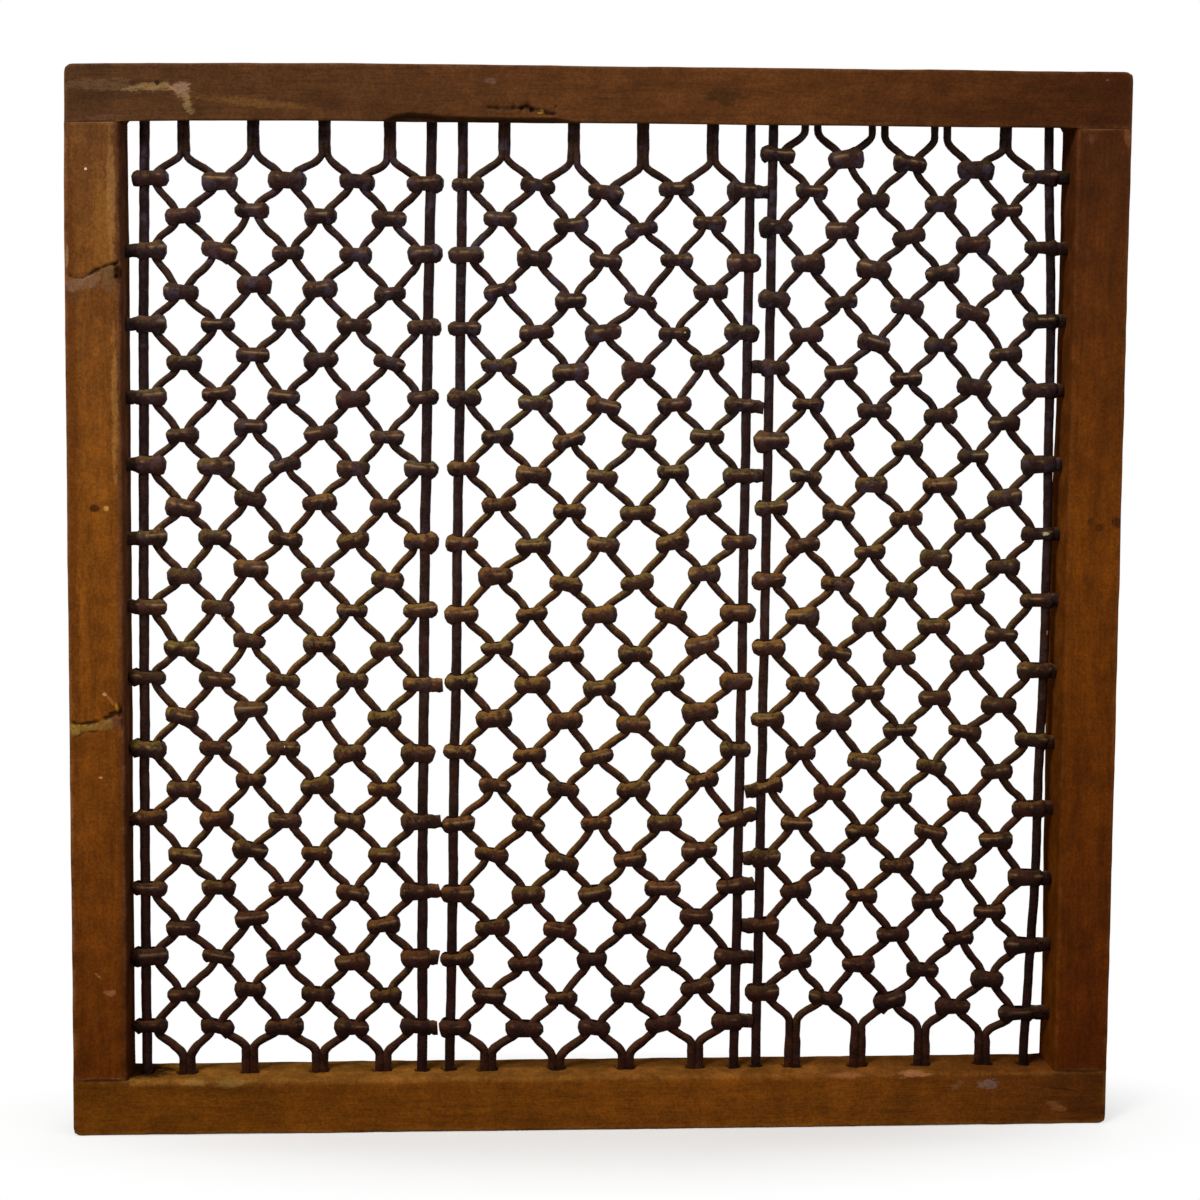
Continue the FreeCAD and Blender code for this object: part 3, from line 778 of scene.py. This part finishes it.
def makeCollarTree():
    tree, given = startTree("wrappedCollars", "GeometryNodeTree", geometry="Geometry", strapSection="Object",
                            tailSection="Object", ringPoints=16, squareness=0.6, waist=0.8, lobe=1.15,
                            unevenness=0.1, rimPoint=3, seam=0.6, dents=0.0004, dentSize=0.007,
                            sharpAngle=0.6, seed=1, material="Material")

    def named(name, kind="FLOAT"):
        return made("GeometryNodeInputNamedAttribute", {"Name": name}, tree=tree, data_type=kind)

    def stored(shape, name, value):
        feeds = {"Geometry": shape, "Name": name, "Value": value}
        return made("GeometryNodeStoreNamedAttribute", feeds, domain="POINT")

    def swept(path, sectionShape, girth, capped):
        feeds = {"Curve": path, "Profile Curve": sectionShape, "Scale": girth, "Fill Caps": capped}
        return made("GeometryNodeCurveToMesh", feeds)

    # the path of one strap: a circle pressed into a rounded oblong, one unit each way
    position = made("GeometryNodeInputPosition", {}, tree=tree)
    sides = parts(position)[:2]
    pressed = [calc("SIGN", side) * abs(side) ** given.squareness for side in sides]
    ring = made("GeometryNodeCurvePrimitiveCircle", {"Resolution": given.ringPoints, "Radius": 1.0})
    oblong = made("ShaderNodeCombineXYZ", dict(enumerate(pressed)))
    ring = made("GeometryNodeSetPosition", {"Geometry": ring, "Position": oblong})
    for name, side in zip(("across", "behind"), sides):
        ring = stored(ring, name, side)

    # every collar is a little different
    places = given.geometry
    for step, name in enumerate(("pinch", "heft", "lop")):
        feeds = {2: -1.0, 3: 1.0, 8: given.seed + float(step)}
        places = stored(places, name, made("FunctionNodeRandomValue", feeds, 1, data_type="FLOAT"))
    size = made("ShaderNodeCombineXYZ", {0: named("reach"), 1: named("depth"), 2: 1.0})
    feeds = {"Points": places, "Selection": named("collar") > 0.5, "Instance": ring, "Scale": size}
    straps = made("GeometryNodeInstanceOnPoints", feeds)
    straps = made("GeometryNodeRealizeInstances", {"Geometry": straps})
    straps = made("GeometryNodeSetCurveNormal", {"Curve": straps}, mode="Z_UP")

    # thick lobes near both ends, a waist between them, and a seam behind
    across = abs(named("across"))
    outward = ramp(across, 0.1, 0.72) - ramp(across, 0.8, 1.0, 0.0, 0.55)
    waist = named("pinch") * given.unevenness + given.waist
    girth = outward * (given.lobe - waist) + waist
    girth = girth * (named("heft") * (given.unevenness * 0.75) + 1.0)
    girth = girth * (named("lop") * named("across") * given.unevenness + 1.0)
    girth = girth * (1.0 - (across < 0.1) * (named("behind") > 0.5) * given.seam)
    section = made("GeometryNodeObjectInfo", {"Object": given.strapSection}, "Geometry")
    # the rim point is where the finish paints a highlight
    index = made("GeometryNodeInputIndex", {}, tree=tree)
    section = stored(section, "rim", calc("COMPARE", index, given.rimPoint, 0.1))
    shape = made("GeometryNodeJoinGeometry", {0: swept(straps, section, girth, False)})

    # long tails, on the side collars that have them
    tails = made("GeometryNodeMeshToCurve", {"Mesh": places})
    tails = made("GeometryNodeSetCurveNormal", {"Curve": tails}, mode="Z_UP")
    section = made("GeometryNodeObjectInfo", {"Object": given.tailSection}, "Geometry")
    feed(shape.socket.node, {0: swept(tails, section, named("girth"), True)})

    # each one leans about its own middle
    feeds = {"Vector": position, "Center": named("home", "FLOAT_VECTOR"), "Angle": named("lean")}
    leaning = made("ShaderNodeVectorRotate", feeds, rotation_type="Y_AXIS")
    shape = addDents(made("GeometryNodeSetPosition", {"Geometry": shape, "Position": leaning}), given)
    shape = made("GeometryNodeSetShadeSmooth", {"Geometry": shape, "Shade Smooth": True})
    sharp = made("GeometryNodeInputMeshEdgeAngle", {}, tree=tree) > given.sharpAngle
    feeds = {"Geometry": shape, "Selection": sharp, "Shade Smooth": False}
    return closeTree(made("GeometryNodeSetShadeSmooth", feeds, domain="EDGE"), given)


def strapOutline():
    # the strap's section: flat inside, then a foot, the front face, a ledge and the top edge. The sweep
    # lays a section's Y downwards, so the top is its lowest point.
    top = -collars["height"] / 2 + collars["raise"]
    bottom = collars["height"] / 2 + collars["raise"]
    thickness = collars["thickness"]
    return [(0.0, bottom * 0.95), (thickness * 0.35, bottom), (thickness * 0.95, bottom - collars["foot"]),
            (thickness, top + collars["top"] + collars["ledge"]), (thickness * 0.36, top + collars["top"]),
            (0.0, top)]


def tailOutline():
    # an oblong with cut corners
    x, y = collars["tailDepth"] / 2, collars["tailHeight"] / 2
    flat = 1 - collars["tailCorner"]
    half = [(x * flat, -y), (x, -y * flat), (x, y * flat), (x * flat, y)]
    return half + [(-pointX, -pointY) for pointX, pointY in half]


def collarHost(node, panel, kind, seed):
    # one point per collar, with what the tree needs to know, and a short path per tail
    dice = random.Random(seed)
    columns = {"reach": [], "depth": [], "collar": [], "lean": [], "girth": []}
    vertices, homes, edges = [], [], []
    spread = collars["lean" if kind == "lattice" else "sideLean"]

    def note(vertex, home, **values):
        vertices.append(vertex)
        homes.append(home)
        for name, column in columns.items():
            column.append(values.get(name, 0.0))

    for number, corners in enumerate(islandsOf(node)):
        across, depth, height = corners.T
        middle = (height.min() + height.max()) / 2
        atEdge = abs(height - middle) > 0.001
        hole = (across[atEdge].min(), across[atEdge].max())
        tips = (across.min(), across.max())
        wall = collars["thickness"] * collars["endShare"]
        body = [tips[0] + wall, tips[1] - wall]
        tailed = kind != "lattice" and tips[1] - tips[0] > collars["tailedWidth"]
        if tailed:
            end, outward = (0, -1) if kind == "left" else (1, 1)
            body[end] = hole[end] + 0.001 * outward
            root = body[end] - collars["tailHold"] * outward
        lean = max(-spread, min(spread, dice.gauss(0.0, spread * 0.45)))
        lean = -math.radians(leaningCollars.get((panel, kind, 2 * number), lean))
        home = (sum(body) / 2, 0.0, middle + collars["raise"])
        change = 0.0 if tailed else dice.uniform(-collars["widthChange"], collars["widthChange"])
        reach = (body[1] - body[0]) / 2 * (1 + change)
        note(home, home, reach=reach, depth=abs(depth[atEdge]).max(), collar=1.0, lean=lean)
        for step in range(collars["tailSteps"] + 1 if tailed else 0):
            share = step / collars["tailSteps"]
            x = root + (tips[end] - root) * share
            sag = dice.uniform(-collars["tailSag"], collars["tailSag"])
            change = dice.uniform(-collars["tailChange"], collars["tailChange"])
            girth = collars["tailGirth"] - collars["tailTaper"] * share + change
            if step:
                edges.append((len(vertices) - 1, len(vertices)))
            note((x, 0.0, middle + sag), home, lean=lean, girth=girth)
    mesh = bpy.data.meshes.new(camel(node) + "Places")
    mesh.from_pydata(vertices, edges, [])
    for name, column in columns.items():
        mesh.attributes.new(name, "FLOAT", "POINT").data.foreach_set("value", column)
    mesh.attributes.new("home", "FLOAT_VECTOR", "POINT").data.foreach_set("vector", np.ravel(homes))
    return placed(mesh.name, mesh)


collarTree = makeCollarTree()
strapSection = sectionCurve("strapSection", strapOutline())
tailSection = sectionCurve("tailSection", tailOutline())

for panelNumber, panel in enumerate(panelNames):
    for kind in ("left", "lattice", "right"):
        node = f"{panel}_{kind}_collars"
        seed = 300 + 10 * panelNumber + len(kind)
        mesh = grownMesh(collarHost(node, panel, kind, seed), collarTree, **collars, seed=seed,
                         strapSection=strapSection, tailSection=tailSection, material=ironFinish["collar"])
        finishPiece(mesh, camel(node), [node])
for section in (barSection, stoutSection, wireSection, strapSection, tailSection):
    bpy.data.objects.remove(section)
print("collars wrapped")


# The wooden frame

timber = {
    "coarseStep": 0.009,
    "fineStep": 0.0013,
    "closest": 0.00035,         # no two lines across a face lie closer
    "arrisLines": (0.0, 0.0004, 0.001, 0.0018, 0.0028, 0.004, 0.0056, 0.0078),
    "waviness": 0.00045,
    "hewn": 0.0011,             # unevenness of the bottom rail's top face
    "pitDepth": 0.005,
    "pitClear": 0.0011,         # between the iron and the rim of its seat
    "pitMargin": 0.004,         # the fine lines about a seat reach this far beside the iron
    "pitLength": 0.0085,        # and this far to the front and back
    "cornerRadius": 0.0074,
    "jointRadius": 0.00045,
    "outerRadius": 0.0019,
    "innerRadius": 0.0024,
    "wornInnerRadius": 0.005,   # the left stile's inner arris
    "softRadius": 0.0058,       # the bottom rail's upper front arris
    "leastRadius": 0.0003,      # wear leaves a long arris between this and the next two
    "mostRailRadius": 0.0072,
    "mostStileRadius": 0.0064,
    "arrisToneReach": 0.0042,        # how far the arris tone, wear and a painted highlight, reaches from an arris
    "waneDepth": 0.0065,        # how far back the top rail's lost arris goes
    "waneReach": 0.012,         # nothing further back than this moves with it
    "bevel": 0.0036,            # how far the top rail's underside rises to the back
    "sag": 0.0031,              # how much lower the top left corner is
    "sagStart": -0.21,          # the top rail bends down to the left of this
    "sagLength": 0.247,
    "sagCurve": 1.4,
    "tuck": 0.0014,             # how far that corner is drawn in
    "tuckSide": (-0.437, 0.02),     # where that begins, and the length over which it grows
    "tuckHeight": (0.79, 0.13),
    "softEnd": 0.012,           # over this length the bevel, the lean and the hewing fade out
    "hardEnd": 0.002,           # over this one the bevel and the inner tone end at the joints
    "noiseScales": {"slow": 14.0, "quick": 60.0, "hewn": 28.0, "split": 260.0, "seat": 160.0, "wane": 90.0},
}

# How far each stile's inner face leans into the opening at the back, at each height
leaningFaces = {
    "left_stile": ((0.05, 0.0006), (0.3, 0.0006), (0.42, 0.001), (0.62, 0.0014), (0.78, 0.0016),
                   (0.87, 0.0006)),
    "right_stile": ((0.05, 0.0006), (0.16, 0.0), (0.24, 0.002), (0.37, 0.0025), (0.54, 0.0021),
                    (0.63, 0.0)),
}

# Stretches along X and along Z where a member needs fine lines, besides its seats
fineStretches = {
    "top_rail": (((-0.4115, -0.4065), (-0.188, -0.018), (0.4065, 0.4115)), ((0.8815, 0.8975),)),
    "left_stile": (((-0.457, -0.409),), ((0.732, 0.764), (0.3515, 0.378))),
    "right_stile": (((0.4065, 0.4115),), ()),
    "bottom_rail": (((-0.4115, -0.4065), (0.4065, 0.4115)), ()),
}

# Splits in the front faces: width, depth and path (x, z). The wane's path is its upper edge.
splits = {
    "top_rail": [
        (0.001, 0.0022, ((-0.099, 0.8938), (-0.089, 0.893), (-0.079, 0.8928), (-0.07, 0.8938))),
        (0.002, 0.0034, ((-0.07, 0.8938), (-0.0655, 0.8952), (-0.061, 0.8925))),
        (0.0012, 0.0022, ((-0.061, 0.8925), (-0.053, 0.8903), (-0.042, 0.8885))),
    ],
    "left_stile": [
        (0.0008, 0.0012, ((-0.452, 0.749), (-0.448, 0.747), (-0.442, 0.747), (-0.437, 0.7495))),
        (0.0013, 0.002, ((-0.437, 0.7495), (-0.426, 0.7555), (-0.418, 0.7588), (-0.408, 0.762))),
        (0.0018, 0.0022, ((-0.4138, 0.759), (-0.4126, 0.7485))),
        (0.0034, 0.0026, ((-0.4095, 0.76), (-0.4095, 0.748))),
        (0.0009, 0.0014, ((-0.453, 0.3652), (-0.445, 0.3645))),
        (0.0014, 0.002, ((-0.445, 0.3645), (-0.437, 0.3652), (-0.432, 0.3668))),
        (0.0021, 0.0024, ((-0.425, 0.3695), (-0.4186, 0.3718), (-0.411, 0.3765))),
        (0.0034, 0.0026, ((-0.4095, 0.376), (-0.4095, 0.364))),
        (0.0008, 0.0008, ((-0.449, 0.3538), (-0.4447, 0.357), (-0.4323, 0.3588))),
    ],
}
wane = ((-0.188, 0.8812), (-0.178, 0.8862), (-0.167, 0.889), (-0.15, 0.888), (-0.134, 0.886),
        (-0.104, 0.8848), (-0.04, 0.8855), (-0.018, 0.8812))


def gridLines(low, high, stretches):
    # places of the lines across a face: close together at the arrises and in the stretches
    lines = {round(line, 5) for offset in timber["arrisLines"] for line in (low + offset, high - offset)}
    fine = [(*stretch, timber["fineStep"]) for stretch in stretches]
    for start, end, step in [(low, high, timber["coarseStep"]), *fine]:
        count = max(1, round((end - start) / step))
        lines |= {round(start + (end - start) * n / count, 5) for n in range(count + 1)}
    kept = [low]
    for line in sorted(lines):
        if min(line - kept[-1], high - line) > timber["closest"]:
            kept.append(line)
    return np.array([*kept, high])


def boxSkin(lines):
    # the six faces of a box as one lattice of points and quads
    points, quads = [], []
    for axis in range(3):
        for end in (0, -1):
            spans = [lines[n][[end]] if n == axis else lines[n] for n in range(3)]
            face = np.stack(np.meshgrid(*spans, indexing="ij"), axis=-1)
            index = np.arange(face.size // 3).reshape(face.shape[:3]).squeeze(axis)
            index += sum(len(others) for others in points)
            corners = (index[:-1, :-1], index[1:, :-1], index[1:, 1:], index[:-1, 1:])
            quads.append(np.stack([part.ravel() for part in corners], axis=1))
            points.append(face.reshape(-1, 3))
    return np.concatenate(points), np.concatenate(quads)


def roundArrises(points, axes, low, high, radiusOf):
    # rounds the four edges of a box that run along the third axis
    for ends in ((0, 0), (0, 1), (1, 0), (1, 1)):
        radius = radiusOf(*ends)
        deep = []
        for axis, end in zip(axes, ends):
            inset = high[axis] - points[:, axis] if end else points[:, axis] - low[axis]
            deep.append(np.clip(radius - inset, 0.0, None))
        share = np.maximum(*deep) / np.maximum(np.hypot(*deep), 1e-9)
        share = np.where((deep[0] > 0) & (deep[1] > 0), share, 1.0)
        for axis, end, amount in zip(axes, ends, deep):
            points[:, axis] += amount * (1 - share) * (-1 if end else 1)


def noiseAt(points, kind, shift):
    scale = timber["noiseScales"][kind]
    offset = Vector((shift, 0.6 * shift, 1.3 * shift))
    return np.array([noise.noise(Vector(point) * scale + offset) for point in points])


def shareOf(amount, length):
    # grows from 0 to 1 over the length
    return np.clip(amount / length, 0.0, 1.0)


def distanceTo(path, x, z):
    # how far each point of a face is from a path of straight stretches
    nearest = np.full(len(x), 1.0)
    for (x0, z0), (x1, z1) in zip(path, path[1:]):
        length = (x1 - x0) ** 2 + (z1 - z0) ** 2
        share = shareOf((x - x0) * (x1 - x0) + (z - z0) * (z1 - z0), length)
        nearest = np.minimum(nearest, np.hypot(x - x0 - share * (x1 - x0), z - z0 - share * (z1 - z0)))
    return nearest


def seatPlaces(end):
    # where bars and stems go into a rail: the middle and half width of each seat
    found = []
    for panel in panelNames:
        for word in ("left", "right"):
            found.append((levelsOf(f"{panel}_{word}_bar")[end][0], bars["diameter"] / 2))
        for column in range(1, 8, 2):
            pair = [levelsOf(f"{panel}_wire_{number}")[end][0] for number in (column, column + 1)]
            found.append((sum(pair) / 2, abs(pair[1] - pair[0]) / 2 + wires["diameter"] / 2))
    return found


def makeMember(node):
    low, high = (np.array(corner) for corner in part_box(node))
    upright = "stile" in node
    onLeft = node.startswith("left")
    atTop = node == "top_rail"
    seed = members[node]["seed"]
    if upright:
        low[2], high[2] = bottomFace, topFace
    seats = [] if upright else seatPlaces(0 if atTop else -1)
    alongX, alongZ = fineStretches[node]
    margin, length = timber["pitMargin"], timber["pitLength"]
    alongX += tuple((place - half - margin, place + half + margin) for place, half in seats)
    stretches = (alongX, ((-length, length),) if seats else (), alongZ)
    points, quads = boxSkin([gridLines(low[n], high[n], stretches[n]) for n in range(3)])

    # what is read from the box before anything moves
    flat = points.copy()
    x, y, z = flat.T
    inward = (flat <= low + nearly) * 1.0 - (flat >= high - nearly)
    inward /= np.maximum(np.linalg.norm(inward, axis=1), 1.0)[:, None]
    slow = noiseAt(flat, "slow", seed)
    quick = noiseAt(flat, "quick", seed + 5)
    if upright:
        fromOpening = high[0] - x if onLeft else x - low[0]
    else:
        fromOpening = z - low[2] if atTop else high[2] - z
    opens = fromOpening <= nearly
    nearOpening = 1 - shareOf(fromOpening, timber["softEnd"])
    inOpening = abs(x) < openingSide
    inFront = y <= low[1] + nearly
    behind = (y - low[1]) / (high[1] - low[1])
    softShare = shareOf(openingSide - abs(x), timber["softEnd"])
    hardShare = shareOf(openingSide - abs(x), timber["hardEnd"])

    # how much each arris is rounded, which differs along the long ones
    wear = 1.0 + 0.55 * quick + 0.35 * slow

    def longArris(firstEnd, secondEnd):
        radius = timber["outerRadius"]
        if upright and firstEnd == onLeft and secondEnd == 0:
            radius = timber["wornInnerRadius" if onLeft else "innerRadius"]
        if not upright and secondEnd != atTop:
            inner = timber["innerRadius" if atTop or firstEnd else "softRadius"]
            radius = np.where(inOpening, inner, timber["jointRadius"])
        most = timber["mostStileRadius" if upright else "mostRailRadius"]
        return np.clip(radius * wear, timber["leastRadius"], most)

    def endArris(firstEnd, secondEnd):
        isOuter = not upright and secondEnd == atTop
        return timber["cornerRadius" if isOuter else "jointRadius"]

    def plainArris(firstEnd, secondEnd):
        return timber["outerRadius"]

    if upright:
        arrises = (((0, 1), longArris), ((0, 2), endArris), ((1, 2), endArris))
    else:
        arrises = (((1, 2), longArris), ((0, 2), endArris), ((0, 1), plainArris))
    for axes, radiusOf in arrises:
        roundArrises(points, axes, low, high, radiusOf)

    # hollows: planed faces that wave, hewn tops, the splits and the seats of the iron
    depth = timber["waviness"] * np.clip(0.5 + 0.7 * slow + 0.2 * quick, 0.0, 2.0)
    if upright:
        depth *= shareOf(np.minimum(z - low[2], high[2] - z), 0.01)
    else:
        depth *= np.where(opens, softShare, 1.0)
    if node == "bottom_rail":
        rough = np.clip(0.4 + noiseAt(flat, "hewn", seed + 9) + 0.5 * quick, 0.0, 2.0)
        depth += np.where(opens, softShare, 0.0) * timber["hewn"] * rough * (1 + 18 * np.clip(y, 0.0, 1.0))
    splitShare = np.zeros(len(flat))
    frayed = 1 + 1.1 * noiseAt(flat, "split", seed)
    for width, deepest, path in splits.get(node, ()):
        away = distanceTo(path, x, z) * frayed
        share = np.where(inFront, np.clip(1.15 - away / width, 0.0, 1.0), 0.0)
        splitShare = np.maximum(splitShare, share)
        depth += deepest * share
    pit = np.zeros(len(flat))
    ragged = 1 + 0.35 * noiseAt(flat[opens], "seat", seed)
    for place, half in seats:
        across = abs(x[opens] - place) / (half + timber["pitClear"])
        through = abs(y[opens]) / (wires["diameter"] / 2 + timber["pitClear"])
        away = (across ** 4 + through ** 4) ** 0.25 * ragged
        pit[opens] = np.maximum(pit[opens], shareOf(1.18 - away, 0.22))
    depth += timber["pitDepth"] * pit
    points += inward * depth[:, None]

    # larger forms: the lost arris and the bevel under the top rail, the leaning faces, the sagging corner
    if atTop:
        edge = np.interp(x, *zip(*wane), left=0.0, right=0.0) + 0.0006 * quick
        lost = shareOf(edge - z, 0.0045) ** 0.7 * (edge > low[2])
        lost *= 1 + 0.35 * noiseAt(flat, "wane", seed)
        back = np.maximum(points[:, 1], low[1] + timber["waneDepth"] * lost)
        points[:, 1] = np.where(y < low[1] + timber["waneReach"], back, points[:, 1])
        # the lost arris is painted dark too, as its shade
        splitShare = np.maximum(splitShare, np.where(inFront, np.clip(lost * 1.4, 0.0, 0.85), 0.0))
        points[:, 2] += timber["bevel"] * behind * nearOpening * hardShare
    if upright:
        bulge = np.interp(z, *zip(*leaningFaces[node]))
        points[:, 0] += (1 if onLeft else -1) * bulge * behind * nearOpening
    if node in ("top_rail", "left_stile"):
        sag = timber["sag"] * shareOf(timber["sagStart"] - x, timber["sagLength"]) ** timber["sagCurve"]
        points[:, 2] -= sag * shareOf(z - topFace + 0.04, 0.04)
        (left, width), (foot, height) = timber["tuckSide"], timber["tuckHeight"]
        points[:, 0] += timber["tuck"] * shareOf(left - x, width) * shareOf(z - foot, height)

    # what the finish wants to know about each point
    inset = np.minimum(flat - low, high - flat)
    arris = np.zeros(len(flat))
    for first, second in ((0, 1), (1, 2), (0, 2)):
        away = np.hypot(inset[:, first], inset[:, second])
        arris = np.maximum(arris, 1 - shareOf(away, timber["arrisToneReach"]))
    # inner: the front face blends into the inner tones near the opening, painting the shade of the arris that
    # turns away
    inner = np.where(inFront, 0.9 * (1 - shareOf(fromOpening, members[node]["turning"])), 0.0)
    if not upright:
        arris *= np.where(inOpening | ~opens, 1.0, 0.2)
        inner *= hardShare
    inner = np.maximum(opens & (inOpening | ~inFront), inner)

    mesh = bpy.data.meshes.new(camel(node))
    mesh.from_pydata(points.tolist(), [], quads.tolist())
    # pit carries the seats and, more faintly, the splits and the lost arris, which the finish paints dark as
    # their shade
    for name, values in (("arris", arris), ("inner", inner), ("pit", np.maximum(pit, 0.8 * splitShare))):
        mesh.attributes.new(name, "FLOAT", "POINT").data.foreach_set("value", values.astype(np.float32))
    rework(mesh, lambda work: bmesh.ops.remove_doubles(work, verts=work.verts, dist=nearly))
    mesh.shade_smooth()
    mesh.materials.append(woodFinish[node])
    finishPiece(mesh, camel(node), [node])


for node in members:
    makeMember(node)
print("frame members cut")


# Camera, light, floor and backdrop

camera = {
    "lens": 70.74,
    "shift": (0.0417, -0.1),
    "place": (-0.151, -2.047, 0.748),
    "turn": (4.86, 0.12, 3.02),         # how the object turns before the camera, about X, Y and Z
}


def makeCamera():
    data = bpy.data.cameras.new("photoCamera")
    data.lens = camera["lens"]
    data.sensor_width = 36.0
    data.shift_x, data.shift_y = camera["shift"]
    turned = Euler([math.radians(angle) for angle in camera["turn"]]).to_matrix()
    columns = Matrix((turned[0], turned[2], -Vector(turned[1]))).transposed()
    holder = placed("photoCamera", data)
    holder.matrix_world = Matrix.Translation(camera["place"]) @ columns.to_4x4()
    bpy.context.scene.camera = holder


studio = {
    "ambient": 0.34,
    "lamps": [
        {"name": "keyLamp", "place": (-1.5, -2.0, 2.6), "size": 0.9, "power": 74.0},
        {"name": "fillLamp", "place": (2.3, -1.5, 1.0), "size": 1.4, "power": 15.0},
        {"name": "topLamp", "place": (-0.2, -0.5, 2.8), "size": 1.2, "power": 20.0},
        {"name": "backLamp", "place": (0.9, 2.4, 2.0), "size": 1.8, "power": 16.0},
    ],
    "aim": (0.0, 0.0, 0.45),
    "floorTone": "#efeeec",
    "floorSpots": "#dddbd8",
    "floorBounce": "#9c9a97",        # what the floor sends back up at the object
    "floorReach": 4.0,
    "shadowReach": (0.62, 0.2),      # half width and depth of floor that shows its own light
}


def makeLamps():
    for values in studio["lamps"]:
        data = bpy.data.lights.new(values["name"], "AREA")
        data.shape = "DISK"
        data.size = values["size"]
        data.energy = values["power"]
        lamp = placed(values["name"], data)
        lamp.location = values["place"]
        aim = Vector(studio["aim"]) - Vector(values["place"])
        lamp.rotation_mode = "QUATERNION"
        lamp.rotation_quaternion = aim.to_track_quat("-Z", "Y")


def makeBackdrop():
    world = bpy.data.worlds.new("whiteStudio")
    world.use_nodes = True
    kinds = ("Is Camera Ray", "Is Glossy Ray", "Is Transmission Ray")
    seen, *others = [made("ShaderNodeLightPath", {}, kind, world.node_tree) for kind in kinds]
    for other in others:
        seen = calc("MAXIMUM", seen, other)
    strength = ramp(seen, 0.0, 1.0, studio["ambient"], 1.0)
    feed(world.node_tree.nodes["Background"], {"Color": (1.0, 1.0, 1.0, 1.0), "Strength": strength})
    bpy.context.scene.world = world


def makeFloor():
    # a pale floor that keeps the shadow near the object and runs out into the white
    material, shader, place = startMaterial("paleFloor")
    tree = place.tree
    seen = made("ShaderNodeLightPath", {}, "Is Camera Ray", tree)
    spots = noiseOf(place, 30.0, 3.0) * 0.06
    colour = mixed(spots, tone(studio["floorTone"]), tone(studio["floorSpots"]))
    colour = mixed(seen, tone(studio["floorBounce"]), colour)
    feed(shader, {"Base Color": colour, "Roughness": 0.9, "Specular IOR Level": 0.1})
    distance = vectorCalc("LENGTH", vectorCalc("DIVIDE", place, (*studio["shadowReach"], 1.0)))
    away = ramp(distance, 0.35, 1.0) * seen
    white = made("ShaderNodeEmission", {"Color": (1.0, 1.0, 1.0, 1.0), "Strength": 1.0}, tree=tree)
    surface = made("ShaderNodeMixShader", {0: away, 1: Value(shader.outputs[0]), 2: white})
    feed(tree.nodes["Material Output"], {"Surface": surface})
    far = studio["floorReach"]
    mesh = bpy.data.meshes.new("paleFloor")
    mesh.from_pydata([(-far, -far, 0), (far, -far, 0), (far, far, 0), (-far, far, 0)], [], [(0, 1, 2, 3)])
    mesh.materials.append(material)
    placed("paleFloor", mesh)


makeCamera()
makeLamps()
makeBackdrop()
makeFloor()
bpy.context.scene.view_settings.view_transform = "Standard"
print("camera, lamps and floor set")
